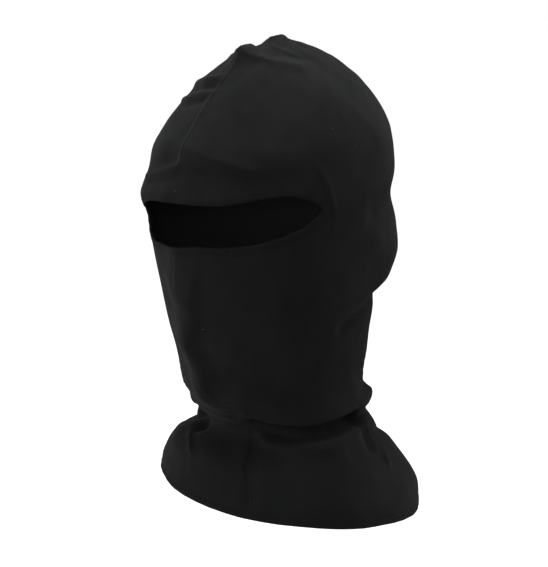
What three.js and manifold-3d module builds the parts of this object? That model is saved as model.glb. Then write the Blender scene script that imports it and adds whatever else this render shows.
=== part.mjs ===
// A silk balaclava in the form that it keeps when worn, in millimetres.
// +Z is up, the face looks toward -Y and the wearer's left is +X.
// The origin is the seat on the inside of the crown's seam, over the axis of the neck.
import * as THREE from 'three';
import { mergeVertices } from 'three/addons/utils/BufferGeometryUtils.js';
import Module from 'manifold-3d';

// Heights of the four zones, from the crown down.
const CROWN_HEIGHT = 142;
const FACE_HEIGHT = 112;
const NECK_HEIGHT = 32;
const SKIRT_HEIGHT = 66;

// Widths along X and lengths along Y that the sections follow.
const HEAD_WIDTH = 160;
const HEAD_LENGTH = 204;
const NECK_WIDTH = 132;
const NECK_LENGTH = 142;
const SKIRT_WIDTH = 186;
const SKIRT_LENGTH = 224;

// The hem lies this much higher at the front of the skirt than over the axis.
const HEM_RISE = 20;

// Cloth.
const PANEL_WALL = 1.4;
const CLEARANCE = 0.3;
const FOLD_RISE = 4;
const FOLD_SPREAD = 6;

// The opening for the eyes and its folded band. Its middle is a share of its reach.
const EYE_LEVEL = 119;
const EYE_HEIGHT = 36;
const EYE_REACH = 105;
const EYE_MIDDLE = 0.22;
const BAND_WIDTH = 26;
const BAND_WALL = 2.4;

// Seams and hem.
const CROWN_SEAM_WIDTH = 3.4;
const CROWN_SEAM_RISE = 0.9;
const FRONT_SEAM_WIDTH = 2.6;
const FRONT_SEAM_RISE = 0.4;
const SEAM_ALLOWANCE = 0.5;
const HEM_WIDTH = 6;
const HEM_WALL = 2.6;

// How far cutting tools reach through the cloth on each face.
const CUT_REACH = 3;

// Small steps for slopes on the wall, halvings of a search, and how near two points are one.
const SLOPE_ANGLE = 0.01;
const SLOPE_RUN = 0.6;
const SEARCH_HALVINGS = 32;
const MERGE_DISTANCE = 0.001;

// Fineness of the facets.
const ZONE_ROWS = [13, 6, 9, 5];
const PANEL_COLUMNS = 23;
const BAND_STEPS_PER_ROW = 3;
const QUARTERS = [0, 0.25, 0.5, 0.75, 1];
const HEM_STEPS = 48;
const SEAM_STEP = 8;

// A level counts zones down from the crown: 0 to 1 is the head above the nose, 1 to 2 the face,
// 2 to 3 the neck and 3 to 4 the skirt. Wide is a share of the zone's half width. Front, mid and
// back are shares of its half length: how far the wall lies ahead of the axis, where it is widest,
// and how far it lies behind. Square is the roundness exponent and lean a share of the hem's rise.
const SECTIONS = table(
  ['level', 'wide', 'front', 'mid', 'back', 'square', 'lean'],
  [
    [0.00, 0.00, -0.16, 0.16, 0.16, 2.00, 0.0],
    [0.02, 0.20, 0.10, 0.14, 0.31, 2.00, 0.0],
    [0.10, 0.46, 0.39, 0.10, 0.55, 2.00, 0.0],
    [0.25, 0.73, 0.65, 0.06, 0.82, 2.00, 0.0],
    [0.45, 0.92, 0.88, 0.03, 0.98, 2.10, 0.0],
    [0.62, 0.98, 0.98, 0.00, 1.02, 2.10, 0.0],
    [0.74, 1.00, 1.06, 0.00, 1.00, 2.15, 0.0],
    [0.86, 0.99, 0.98, 0.00, 0.99, 2.20, 0.0],
    [1.00, 0.98, 0.94, 0.00, 1.03, 2.20, 0.0],
    [1.18, 0.96, 0.90, 0.00, 1.05, 2.20, 0.0],
    [1.32, 0.94, 0.86, 0.00, 0.98, 2.20, 0.0],
    [1.43, 0.92, 0.83, 0.00, 0.78, 2.20, 0.0],
    [1.60, 0.88, 0.79, 0.00, 0.75, 2.20, 0.0],
    [1.80, 0.84, 0.73, 0.00, 0.73, 2.20, 0.0],
    [2.00, 0.97, 0.98, 0.00, 1.03, 2.20, 0.0],
    [2.30, 0.98, 0.90, 0.00, 1.06, 2.10, 0.1],
    [2.60, 0.99, 0.80, 0.00, 1.22, 2.00, 0.2],
    [2.90, 0.95, 0.71, 0.00, 1.18, 2.00, 0.4],
    [3.12, 0.76, 0.46, 0.00, 0.84, 2.00, 0.5],
    [3.40, 0.88, 0.64, 0.02, 1.03, 2.00, 0.7],
    [3.75, 1.00, 0.70, 0.04, 1.24, 2.00, 0.9],
    [4.00, 1.02, 0.73, 0.04, 1.25, 2.00, 1.0],
  ],
);

// Where the hem hangs lower round the skirt, as a share of the skirt's height.
// Angles are in degrees from the middle of the face, positive toward the wearer's left.
const HEM_WAVE = table(
  ['angle', 'lower'],
  [
    [-150, -0.02],
    [-100, -0.10],
    [-50, -0.17],
    [-15, -0.05],
    [20, 0.02],
    [60, 0.03],
    [95, 0.05],
    [125, 0.07],
    [165, 0.00],
  ],
);

// The front seam drifts sideways where the cloth is pulled round the chin and the neck.
const FRONT_SEAM_DRIFT = table(
  ['level', 'angle'],
  [
    [0.00, 0],
    [0.85, 0],
    [1.05, -2],
    [1.25, -5.5],
    [1.50, -6.5],
    [1.80, -3],
    [2.10, 3],
    [2.50, 10.5],
    [2.80, 15.5],
    [3.10, 20],
    [3.45, 24.5],
    [3.75, 26.5],
    [4.00, 27],
  ],
);

// Folds, hollows and ridges that the worn cloth takes. Rise is a share of the fold rise, negative
// for a hollow, spread a share of the fold spread, and a path lists angles and levels.
const FOLDS = table(
  ['name', 'rise', 'spread', 'path'],
  [
    ['front peak', 1.60, 1.30, [[0, 0.045], [0, 0.070]]],
    ['top peak', 1.25, 1.05, [[0, 0.001], [0, 0.007]]],
    ['crown pleat', 0.60, 0.80, [[-50, 0.070], [24, 0.063], [68, 0.100]]],
    ['crown pleat hollow', -0.60, 0.80, [[0, 0.030], [60, 0.050], [85, 0.070]]],
    ['upper pucker', 0.45, 0.70, [[-50, 0.210], [-5, 0.160]]],
    ['upper pucker hollow', -0.45, 0.70, [[-44, 0.245], [-5, 0.195]]],
    ['lower pucker', 0.40, 0.70, [[-36, 0.280], [-5, 0.225]]],
    ['lower pucker hollow', -0.40, 0.70, [[-38, 0.317], [-6, 0.257]]],
    ['brow fullness', 0.50, 1.70, [[-45, 0.535], [0, 0.465], [30, 0.480], [60, 0.520]]],
    ['brow tuck', -0.50, 0.80, [[-18, 0.620], [8, 0.567], [22, 0.556], [40, 0.585], [60, 0.606]]],
    ['face ridge', 0.80, 2.00, [[-2, 1.00], [-6, 1.20], [-8, 1.43], [-7, 1.62], [-2, 1.83], [-3, 2.25]]],
    ['ear hollow', -0.75, 2.00, [[155, 0.79], [132, 0.81], [105, 0.84]]],
    ['nape fullness', 0.45, 2.20, [[155, 1.12], [125, 1.15]]],
    ['nape crease', -0.65, 1.00, [[135, 1.42], [112, 1.45], [99, 1.49], [90, 1.55]]],
    ['nape crease right', -0.55, 1.00, [[-140, 1.44], [-115, 1.47], [-96, 1.52]]],
    ['roll hollow', -0.40, 1.35, [[126, 1.98], [93, 1.98], [63, 2.00], [30, 2.30]]],
    ['roll', 0.65, 1.00, [[140, 2.55], [103, 2.56], [70, 2.68], [40, 2.72], [5, 2.72], [-25, 2.74]]],
    ['roll right', 0.85, 1.20, [[-150, 2.55], [-110, 2.52], [-70, 2.62], [-42, 2.72]]],
    ['pocket', -1.40, 1.00, [[24, 2.84], [36, 2.94], [55, 2.98], [75, 2.97], [92, 2.90], [108, 2.82]]],
    ['pocket lip', 0.70, 0.75, [[20, 2.96], [30, 3.10], [42, 3.15], [72, 3.15], [88, 3.12], [118, 3.02]]],
    ['chin notch', -1.60, 1.10, [[-46, 3.02], [-34, 3.05], [-25, 3.12]]],
    ['right pull', -1.40, 1.25, [[-50, 3.17], [-70, 3.19], [-95, 3.12], [-130, 2.95]]],
    ['shoulder hollow', -0.90, 1.50, [[124, 3.17], [140, 3.22], [165, 3.20]]],
    ['side crease', 0.55, 0.70, [[123, 2.97], [118, 3.21], [116, 3.39]]],
    ['side hollow', -0.55, 0.80, [[112, 3.02], [108, 3.24]]],
    ['skirt dip', -0.35, 0.90, [[14, 2.65], [24, 3.09], [28, 3.44], [27, 3.90]]],
  ],
);

// The edge of the opening, from its left corner over the brow and back under the eyes. Turn is a
// share of the reach round the face, level of the opening's height and band of the band's width.
const EYE_EDGE = table(
  ['turn', 'level', 'band'],
  [
    [1.00, -0.25, 0.36],
    [0.95, -0.43, 0.54],
    [0.80, -0.58, 0.66],
    [0.61, -0.56, 0.76],
    [0.35, -0.44, 0.97],
    [0.08, -0.43, 1.00],
    [-0.13, -0.39, 0.90],
    [-0.31, -0.26, 0.72],
    [-0.46, -0.08, 0.50],
    [-0.54, 0.14, 0.36],
    [-0.52, 0.38, 0.28],
    [-0.40, 0.54, 0.27],
    [-0.18, 0.56, 0.27],
    [0.07, 0.49, 0.27],
    [0.37, 0.42, 0.27],
    [0.59, 0.33, 0.27],
    [0.77, 0.18, 0.28],
    [0.91, 0.01, 0.30],
  ],
);

// Across the band from the opening outward: rounded where the cloth is folded back on itself.
// Out is a share of the band's wall, from its middle.
const BAND_PROFILE = table(
  ['across', 'out'],
  [
    [0.00, 0.10],
    [0.06, 0.48],
    [0.50, 0.52],
    [1.00, 0.42],
    [1.00, -0.42],
    [0.50, -0.50],
    [0.06, -0.38],
  ],
);

// Across a seam: side is a share of its half width and out of its rise.
const SEAM_PROFILE = table(
  ['side', 'out'],
  [
    [-1.00, 0.10],
    [-0.40, 1.00],
    [0.40, 1.00],
    [1.00, 0.10],
  ],
);

// Down the hem: the cloth is rolled up inside and stands a little proud on both faces.
const HEM_PROFILE = table(
  ['down', 'out'],
  [
    [0.00, 0.32],
    [0.20, 0.50],
    [0.75, 0.50],
    [1.00, 0.18],
    [1.00, -0.18],
    [0.75, -0.50],
    [0.20, -0.50],
    [0.00, -0.32],
  ],
);

const ZONES = [
  { height: CROWN_HEIGHT, width: HEAD_WIDTH, length: HEAD_LENGTH },
  { height: FACE_HEIGHT, width: HEAD_WIDTH, length: HEAD_LENGTH },
  { height: NECK_HEIGHT, width: NECK_WIDTH, length: NECK_LENGTH },
  { height: SKIRT_HEIGHT, width: SKIRT_WIDTH, length: SKIRT_LENGTH },
];
const FULL_DROP = dropAt(ZONES.length);
const SKIRT_TOP = dropAt(ZONES.length - 1);
const HEM_TOP = FULL_DROP - HEM_WIDTH;
const CLOTH_END = HEM_TOP - CLEARANCE;
const SEAM_DEPTH = PANEL_WALL + SEAM_ALLOWANCE;

function table(columns, rows) {
  return rows.map((row) => Object.fromEntries(columns.map((name, i) => [name, row[i]])));
}

function radians(degrees) {
  return THREE.MathUtils.degToRad(degrees);
}

// How far below the crown a level lies.
function dropAt(level) {
  return ZONES.reduce((drop, zone, i) => drop + zone.height * THREE.MathUtils.clamp(level - i, 0, 1), 0);
}

// A smooth cubic curve through values at rising keys, read at a place between them.
function readSmooth(keys, values, at) {
  const last = keys.length - 1;
  const i = THREE.MathUtils.clamp(keys.findLastIndex((key) => key <= at), 0, last - 1);
  const slope = (place) => {
    const [before, after] = [Math.max(place - 1, 0), Math.min(place + 1, last)];
    return (values[after] - values[before]) / (keys[after] - keys[before]);
  };
  const step = keys[i + 1] - keys[i];
  const t = (at - keys[i]) / step;
  return (2 * t ** 3 - 3 * t ** 2 + 1) * values[i]
    + (t ** 3 - 2 * t ** 2 + t) * step * slope(i)
    + (3 * t ** 2 - 2 * t ** 3) * values[i + 1]
    + (t ** 3 - t ** 2) * step * slope(i + 1);
}

// The sections at their real sizes. The first is mirrored over the crown, so that the curves
// through the sections cross it level.
const LENGTHS = ['drop', 'wide', 'front', 'back'];
const STATIONS = SECTIONS.map((row) => {
  const zone = ZONES[Math.min(Math.floor(row.level), ZONES.length - 1)];
  return {
    drop: dropAt(row.level),
    wide: (row.wide * zone.width) / 2,
    front: (row.front * zone.length) / 2,
    mid: (row.mid * zone.length) / 2,
    back: (row.back * zone.length) / 2,
    square: row.square,
    lean: row.lean * HEM_RISE,
  };
});
const [CROWN, BELOW_CROWN] = STATIONS;
STATIONS.unshift({
  ...BELOW_CROWN,
  wide: -BELOW_CROWN.wide,
  front: 2 * CROWN.front - BELOW_CROWN.front,
  back: 2 * CROWN.back - BELOW_CROWN.back,
});

// How far down the wall each section lies, measured through the sections from the crown.
function stepBetween(a, b) {
  return Math.hypot(...LENGTHS.map((name) => a[name] - b[name]));
}
const RUNS = STATIONS.map((_, i) => (
  STATIONS.slice(1, i).reduce((run, station, j) => run + stepBetween(station, STATIONS[j + 2]), 0)
));
RUNS[0] = -stepBetween(CROWN, BELOW_CROWN);
const FULL_RUN = RUNS.at(-1);

// The section at a run down the wall.
function sectionAt(run) {
  return Object.fromEntries(Object.keys(CROWN).map((name) => (
    [name, readSmooth(RUNS, STATIONS.map((station) => station[name]), run)]
  )));
}

// The run at which the wall has come down by a drop, found by halving.
function runAt(drop) {
  let low = 0;
  let high = FULL_RUN;
  for (let i = 0; i < SEARCH_HALVINGS; i += 1) {
    const middle = (low + high) / 2;
    if (sectionAt(middle).drop < drop) low = middle;
    else high = middle;
  }
  return low;
}

// The hem's wave is read with its neighbours on both sides, so that it closes smoothly.
const WAVE_TURNS = [-360, 0, 360];
const WAVE_ANGLES = WAVE_TURNS.flatMap((turn) => HEM_WAVE.map((row) => radians(row.angle + turn)));
const WAVE_VALUES = WAVE_TURNS.flatMap(() => HEM_WAVE.map((row) => row.lower));

function hemWave(angle) {
  return readSmooth(WAVE_ANGLES, WAVE_VALUES, angle);
}

// A point of the wall's outer face with no folds in it.
function plainPoint(angle, run) {
  const section = sectionAt(run);
  const side = Math.sin(angle);
  const ahead = Math.cos(angle);
  const power = 2 / section.square;
  const reach = ahead > 0 ? section.front + section.mid : section.back - section.mid;
  const y = section.mid - Math.sign(ahead) * reach * Math.abs(ahead) ** power;
  const lower = hemWave(angle) * SKIRT_HEIGHT;
  const skirt = THREE.MathUtils.clamp((section.drop - SKIRT_TOP) / SKIRT_HEIGHT, 0, 1);
  return new THREE.Vector3(
    section.wide * Math.sign(side) * Math.abs(side) ** power,
    y,
    -section.drop - (section.lean * y) / (SKIRT_LENGTH / 2) - skirt * lower,
  );
}

// The directions round the plain wall and down it.
function plainAcross(angle, run) {
  return plainPoint(angle + SLOPE_ANGLE, run).sub(plainPoint(angle - SLOPE_ANGLE, run)).normalize();
}

function plainDown(angle, run) {
  const below = plainPoint(angle, Math.min(run + SLOPE_RUN, FULL_RUN));
  return below.sub(plainPoint(angle, run - SLOPE_RUN)).normalize();
}

function plainNormal(angle, run) {
  if (run < SLOPE_RUN) return new THREE.Vector3(0, 0, 1);
  return plainDown(angle, run).cross(plainAcross(angle, run)).normalize();
}

// Each fold's path, laid on the plain wall.
const FOLD_LINES = FOLDS.map((fold) => {
  const line = [];
  fold.path.slice(1).forEach(([angle, level], i) => {
    const [lastAngle, lastLevel] = fold.path[i];
    for (const share of QUARTERS) {
      const turn = radians(THREE.MathUtils.lerp(lastAngle, angle, share));
      line.push(plainPoint(turn, runAt(dropAt(THREE.MathUtils.lerp(lastLevel, level, share)))));
    }
  });
  return { line, rise: fold.rise * FOLD_RISE, spread: fold.spread * FOLD_SPREAD };
});

function distanceTo(line, point) {
  const nearest = new THREE.Vector3();
  const distances = line.slice(1).map((end, i) => {
    new THREE.Line3(line[i], end).closestPointToPoint(point, true, nearest);
    return nearest.distanceTo(point);
  });
  return Math.min(...distances);
}

// A point of the worn cloth, out from its outer face by a distance.
function clothPoint(angle, run, out = 0) {
  const point = plainPoint(angle, run);
  let rise = 0;
  for (const fold of FOLD_LINES) {
    rise += fold.rise * Math.exp(-((distanceTo(fold.line, point) / fold.spread) ** 2));
  }
  return point.addScaledVector(plainNormal(angle, run), rise + out);
}

// A closed solid through a row of sections. The first half of a section's points lie on one face
// and the second half come back on the other. A ring joins its last section to its first. In a
// pointed solid each section starts and ends at points that all sections share.
function solid(sections, { ring = false, pointed = false } = {}) {
  const count = sections.length;
  const points = sections[0].length;
  const at = (i, j) => (i % count) * points + (j % points);
  const faces = [];
  const quad = (a, b, c, d) => faces.push([a, b, c], [a, c, d]);
  for (let i = 0; i < (ring ? count : count - 1); i += 1) {
    for (let j = 0; j < (pointed ? points - 1 : points); j += 1) {
      quad(at(i, j), at(i, j + 1), at(i + 1, j + 1), at(i + 1, j));
    }
  }
  if (!ring) {
    const last = count - 1;
    for (let j = 0; j < points / 2 - 1; j += 1) {
      const back = points - 1 - j;
      quad(at(0, j), at(0, back), at(0, back - 1), at(0, j + 1));
      quad(at(last, j), at(last, j + 1), at(last, back - 1), at(last, back));
    }
  }
  const loose = new THREE.BufferGeometry();
  const positions = sections.flat().flatMap((point) => point.toArray());
  loose.setAttribute('position', new THREE.Float32BufferAttribute(positions, 3));
  loose.setIndex(faces.flat());
  const merged = mergeVertices(loose, MERGE_DISTANCE);
  const index = [...merged.getIndex().array];
  const whole = faces
    .map((_, i) => index.slice(3 * i, 3 * i + 3))
    .filter(([a, b, c]) => a !== b && b !== c && c !== a);
  merged.setIndex(volume(merged, whole) < 0 ? whole.map(([a, b, c]) => [a, c, b]).flat() : whole.flat());
  return merged;
}

// Signed volume, negative where the faces point inward.
function volume(geometry, faces) {
  const position = geometry.getAttribute('position');
  const [a, b, c] = [new THREE.Vector3(), new THREE.Vector3(), new THREE.Vector3()];
  return faces.reduce((sum, face) => {
    [a, b, c].forEach((corner, i) => corner.fromBufferAttribute(position, face[i]));
    return sum + a.dot(b.cross(c)) / 6;
  }, 0);
}

const wasm = await Module();
wasm.setup();

function toManifold(geometry) {
  return new wasm.Manifold(new wasm.Mesh({
    numProp: 3,
    vertProperties: Float32Array.from(geometry.getAttribute('position').array),
    triVerts: Uint32Array.from(geometry.getIndex().array),
  }));
}

function cut(geometry, cutters) {
  const left = cutters.reduce((body, cutter) => body.subtract(toManifold(cutter)), toManifold(geometry));
  const mesh = left.getMesh();
  const result = new THREE.BufferGeometry();
  result.setAttribute('position', new THREE.Float32BufferAttribute(mesh.vertProperties, 3));
  result.setIndex([...mesh.triVerts]);
  return result;
}

// The opening's edge as a closed curve over the unrolled wall: x runs round the head, y down it
// and z holds the band's width there.
const EYE_CURVE = new THREE.CatmullRomCurve3(
  EYE_EDGE.map((row) => new THREE.Vector3(
    row.turn * EYE_REACH,
    EYE_LEVEL + row.level * EYE_HEIGHT,
    row.band * BAND_WIDTH,
  )),
  true,
);
const EYE_STEPS = EYE_EDGE.length * BAND_STEPS_PER_ROW;

// A place on the unrolled band: across is 0 at the opening and 1 at the band's outer edge.
function bandPlace(step, across, beyond = 0) {
  const share = (step % EYE_STEPS) / EYE_STEPS;
  const edge = EYE_CURVE.getPoint(share);
  const along = EYE_CURVE.getTangent(share);
  const outward = new THREE.Vector2(-along.y, along.x).normalize();
  return new THREE.Vector2(edge.x, edge.y).addScaledVector(outward, across * edge.z + beyond);
}

function placeOnCloth(place, out) {
  return clothPoint(place.x / (HEAD_WIDTH / 2), runAt(place.y), out);
}

// The band's outer edge, above or below the eyes, over a stretch of the unrolled wall.
function bandLimit(from, to, above) {
  const drops = [];
  for (let step = 0; step < EYE_STEPS; step += 1) {
    const a = bandPlace(step, 1);
    const b = bandPlace(step + 1, 1);
    for (const x of [from, to]) {
      if ((a.x - x) * (b.x - x) <= 0 && (a.y < EYE_LEVEL) === above) {
        drops.push(THREE.MathUtils.lerp(a.y, b.y, (x - a.x) / (b.x - a.x)));
      }
    }
  }
  return above ? Math.min(...drops) - CLEARANCE : Math.max(...drops) + CLEARANCE;
}

function eyeBand() {
  const sections = [];
  for (let step = 0; step < EYE_STEPS; step += 1) {
    sections.push(BAND_PROFILE.map(({ across, out }) => (
      placeOnCloth(bandPlace(step, across), out * BAND_WALL - PANEL_WALL / 2)
    )));
  }
  return solid(sections, { ring: true });
}

// Cuts the band's place and the opening out of the panels.
function eyeCutter() {
  const middle = new THREE.Vector2(EYE_MIDDLE * EYE_REACH, EYE_LEVEL);
  const sections = [];
  for (let step = 0; step < EYE_STEPS; step += 1) {
    const rim = bandPlace(step, 1, CLEARANCE);
    const face = (out) => QUARTERS.map((share) => placeOnCloth(middle.clone().lerp(rim, share), out));
    sections.push([...face(CUT_REACH), ...face(-PANEL_WALL - CUT_REACH).reverse()]);
  }
  return solid(sections, { ring: true, pointed: true });
}

function seamAngle(run) {
  const drops = FRONT_SEAM_DRIFT.map((row) => dropAt(row.level));
  const angles = FRONT_SEAM_DRIFT.map((row) => radians(row.angle));
  return readSmooth(drops, angles, sectionAt(run).drop);
}

// Places along a seam, each with its angle and run, down the wall from one run to another. All
// seams share the places between, so that what is cut for a seam follows the seam itself.
function seamPath(from, to, angleAt) {
  const runs = [from];
  for (let i = Math.floor(from / SEAM_STEP) + 1; i * SEAM_STEP < to; i += 1) runs.push(i * SEAM_STEP);
  return [...runs, to].map((run) => ({ run, angle: angleAt(run) }));
}

// Along the wall at right angles to a seam, toward the wearer's left.
function sideways(angle, run) {
  if (run < SLOPE_RUN) return new THREE.Vector3(1, 0, 0);
  const side = plainAcross(angle, run);
  return side.x < 0 ? side.negate() : side;
}

// A strip along a seam path, through an outline of shares of the width and distances out.
function strip(path, width, outline) {
  return solid(path.map(({ angle, run }) => {
    const middle = clothPoint(angle, run);
    const normal = plainNormal(angle, run);
    const side = sideways(angle, run);
    return outline.map((row) => middle.clone()
      .addScaledVector(side, (row.side * width) / 2)
      .addScaledVector(normal, row.out));
  }));
}

function seam(path, width, rise) {
  const face = SEAM_PROFILE.map(({ side, out }) => ({ side, out: out * rise }));
  const inside = SEAM_PROFILE.map(({ side }) => ({ side, out: -SEAM_DEPTH })).reverse();
  return strip(path, width, [...face, ...inside]);
}

// Cuts a seam's place, with its clearance, through the cloth.
function seamCutter(path, width) {
  const outs = [CUT_REACH, 0, -SEAM_DEPTH, -SEAM_DEPTH - CUT_REACH];
  return strip(path, width + 2 * CLEARANCE, [
    ...outs.map((out) => ({ side: 1, out })),
    ...outs.toReversed().map((out) => ({ side: -1, out })),
  ]);
}

// From a drop on the brow over the crown and down the back to another drop.
function crownPath(browDrop, backRun) {
  const front = seamPath(0, runAt(browDrop), () => 0);
  const back = seamPath(0, backRun, () => Math.PI);
  return [...front.reverse(), ...back.slice(1)];
}

function frontPath(topDrop, bottomRun) {
  return seamPath(runAt(topDrop), bottomRun, seamAngle);
}

// The runs of a panel's rows, each zone divided evenly, down to where the hem begins.
function panelRuns() {
  const runs = [0];
  ZONE_ROWS.forEach((rows, zone) => {
    const top = runAt(dropAt(zone));
    const bottom = runAt(Math.min(dropAt(zone + 1), CLOTH_END));
    for (let row = 1; row <= rows; row += 1) runs.push(THREE.MathUtils.lerp(top, bottom, row / rows));
  });
  return runs;
}

// One side of the hood, from the front seam round to the seam at the back.
function panel(side, cutters) {
  const runs = panelRuns();
  const sections = Array.from({ length: PANEL_COLUMNS }, (_, column) => {
    const share = column / (PANEL_COLUMNS - 1);
    const wall = (out) => runs.map((run) => (
      clothPoint(THREE.MathUtils.lerp(seamAngle(run), side * Math.PI, share), run, out)
    ));
    return [...wall(0), ...wall(-PANEL_WALL).reverse()];
  });
  return cut(solid(sections), cutters);
}

function neckHem() {
  const sections = Array.from({ length: HEM_STEPS }, (_, step) => {
    const angle = (2 * Math.PI * step) / HEM_STEPS;
    return HEM_PROFILE.map(({ down, out }) => (
      clothPoint(angle, runAt(HEM_TOP + down * HEM_WIDTH), out * HEM_WALL - PANEL_WALL / 2)
    ));
  });
  return solid(sections, { ring: true });
}

const crownReach = [-CROWN_SEAM_WIDTH / 2, CROWN_SEAM_WIDTH / 2];
const browEdge = bandLimit(...crownReach, true);
const noseAngle = seamAngle(runAt(EYE_LEVEL + EYE_HEIGHT / 2));
const noseReach = [-FRONT_SEAM_WIDTH, FRONT_SEAM_WIDTH].map((side) => side + (noseAngle * HEAD_WIDTH) / 2);
const noseEdge = bandLimit(...noseReach, false);
const clothRun = runAt(CLOTH_END);
const panelCutters = [
  eyeCutter(),
  seamCutter(crownPath(EYE_LEVEL, FULL_RUN), CROWN_SEAM_WIDTH),
  seamCutter(frontPath(EYE_LEVEL, FULL_RUN), FRONT_SEAM_WIDTH),
];

const silk = { roughness: 0.82, metalness: 0 };
const PIECES = table(
  ['name', 'geometry', 'color'],
  [
    ['left_panel', panel(1, panelCutters), 0x1a1b1c],
    ['right_panel', panel(-1, panelCutters), 0x1c1d1e],
    ['crown_seam', seam(crownPath(browEdge, clothRun), CROWN_SEAM_WIDTH, CROWN_SEAM_RISE), 0x222325],
    ['front_seam', seam(frontPath(noseEdge, clothRun), FRONT_SEAM_WIDTH, FRONT_SEAM_RISE), 0x202122],
    ['eye_band', eyeBand(), 0x161718],
    ['neck_hem', neckHem(), 0x1d1e20],
  ],
);

const balaclava = new THREE.Group();
for (const { name, geometry, color } of PIECES) {
  const mesh = new THREE.Mesh(geometry, new THREE.MeshStandardMaterial({ color, ...silk }));
  mesh.name = name;
  balaclava.add(mesh);
}

export default balaclava;
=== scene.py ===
"""A worn silk balaclava: two knitted panels, their seams, the folded eye band and the hem.

Sizes are in millimetres and turned into metres by MM where they enter the scene. Angles run
round the axis of the neck from the middle of the face, positive toward the wearer's left.
"""
import math

import bpy
import numpy as np
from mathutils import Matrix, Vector


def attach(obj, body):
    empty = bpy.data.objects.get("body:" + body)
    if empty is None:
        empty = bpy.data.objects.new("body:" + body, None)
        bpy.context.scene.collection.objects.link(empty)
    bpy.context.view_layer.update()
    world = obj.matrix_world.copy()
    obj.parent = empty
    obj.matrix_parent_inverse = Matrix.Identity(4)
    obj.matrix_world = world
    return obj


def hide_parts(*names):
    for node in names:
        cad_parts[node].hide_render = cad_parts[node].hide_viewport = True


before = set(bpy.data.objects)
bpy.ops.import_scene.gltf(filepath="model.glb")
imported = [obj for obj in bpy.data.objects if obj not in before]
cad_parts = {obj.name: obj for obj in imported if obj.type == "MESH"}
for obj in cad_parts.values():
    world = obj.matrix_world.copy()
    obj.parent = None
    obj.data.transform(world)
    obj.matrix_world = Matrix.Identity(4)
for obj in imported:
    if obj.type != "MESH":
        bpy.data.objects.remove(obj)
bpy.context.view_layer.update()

MM = 0.001

# Heights of the four zones from the crown down, and their widths and lengths.
CROWN_HEIGHT, FACE_HEIGHT, NECK_HEIGHT, SKIRT_HEIGHT = 142, 112, 32, 66
HEAD_WIDTH, HEAD_LENGTH = 160, 204
NECK_WIDTH, NECK_LENGTH = 132, 142
SKIRT_WIDTH, SKIRT_LENGTH = 186, 224
HEM_RISE = 20
ZONES = (
    (CROWN_HEIGHT, HEAD_WIDTH, HEAD_LENGTH),
    (FACE_HEIGHT, HEAD_WIDTH, HEAD_LENGTH),
    (NECK_HEIGHT, NECK_WIDTH, NECK_LENGTH),
    (SKIRT_HEIGHT, SKIRT_WIDTH, SKIRT_LENGTH),
)
FULL_DROP = sum(zone[0] for zone in ZONES)
SKIRT_TOP = FULL_DROP - SKIRT_HEIGHT

# Cloth, band, seams and hem.
CLOTH_WALL = 1.0
EYE_LEVEL, EYE_HEIGHT, EYE_REACH, BAND_WIDTH = 119, 36, 105, 26
BAND_WALL = 2.0
CROWN_SEAM_WIDTH, CROWN_SEAM_RISE = 3.4, 0.7
FRONT_SEAM_WIDTH, FRONT_SEAM_RISE = 2.6, 0.12
SEAM_WALL = 1.8
HEM_WIDTH, HEM_WALL = 6, 2.2
SLOPE_ANGLE, SLOPE_RUN = 0.01, 0.6

# level, wide, front, mid, back, square, lean
SECTIONS = np.array([
    (0.00, 0.00, -0.16, 0.16, 0.16, 2.00, 0.0),
    (0.02, 0.20, 0.10, 0.14, 0.31, 2.00, 0.0),
    (0.10, 0.46, 0.39, 0.10, 0.55, 2.00, 0.0),
    (0.25, 0.73, 0.65, 0.06, 0.82, 2.00, 0.0),
    (0.45, 0.92, 0.88, 0.03, 0.98, 2.10, 0.0),
    (0.62, 0.98, 0.98, 0.00, 1.02, 2.10, 0.0),
    (0.74, 1.00, 1.06, 0.00, 1.00, 2.15, 0.0),
    (0.86, 0.99, 0.98, 0.00, 0.99, 2.20, 0.0),
    (1.00, 0.98, 0.94, 0.00, 1.03, 2.20, 0.0),
    (1.18, 0.96, 0.90, 0.00, 1.05, 2.20, 0.0),
    (1.32, 0.94, 0.86, 0.00, 0.98, 2.20, 0.0),
    (1.43, 0.92, 0.83, 0.00, 0.78, 2.20, 0.0),
    (1.60, 0.88, 0.79, 0.00, 0.75, 2.20, 0.0),
    (1.80, 0.84, 0.73, 0.00, 0.73, 2.20, 0.0),
    (2.00, 0.97, 0.98, 0.00, 1.03, 2.20, 0.0),
    (2.30, 0.98, 0.90, 0.00, 1.06, 2.10, 0.1),
    (2.60, 0.99, 0.80, 0.00, 1.22, 2.00, 0.2),
    (2.90, 0.95, 0.71, 0.00, 1.18, 2.00, 0.4),
    (3.12, 0.76, 0.46, 0.00, 0.84, 2.00, 0.5),
    (3.40, 0.88, 0.64, 0.02, 1.03, 2.00, 0.7),
    (3.75, 1.00, 0.70, 0.04, 1.24, 2.00, 0.9),
    (4.00, 1.02, 0.73, 0.04, 1.25, 2.00, 1.0),
])

# angle, how much lower the hem hangs as a share of the skirt's height
HEM_WAVE = np.array([
    (-150, -0.02), (-100, -0.10), (-50, -0.17), (-15, -0.05), (20, 0.02),
    (60, 0.03), (95, 0.05), (125, 0.07), (165, 0.00),
])

# level, angle that the front seam drifts to
FRONT_SEAM_DRIFT = np.array([
    (0.00, 0), (0.85, 0), (1.05, -2), (1.25, -5.5), (1.50, -6.5), (1.80, -3), (2.10, 3),
    (2.50, 10.5), (2.80, 15.5), (3.10, 20), (3.45, 24.5), (3.75, 26.5), (4.00, 27),
])

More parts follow.
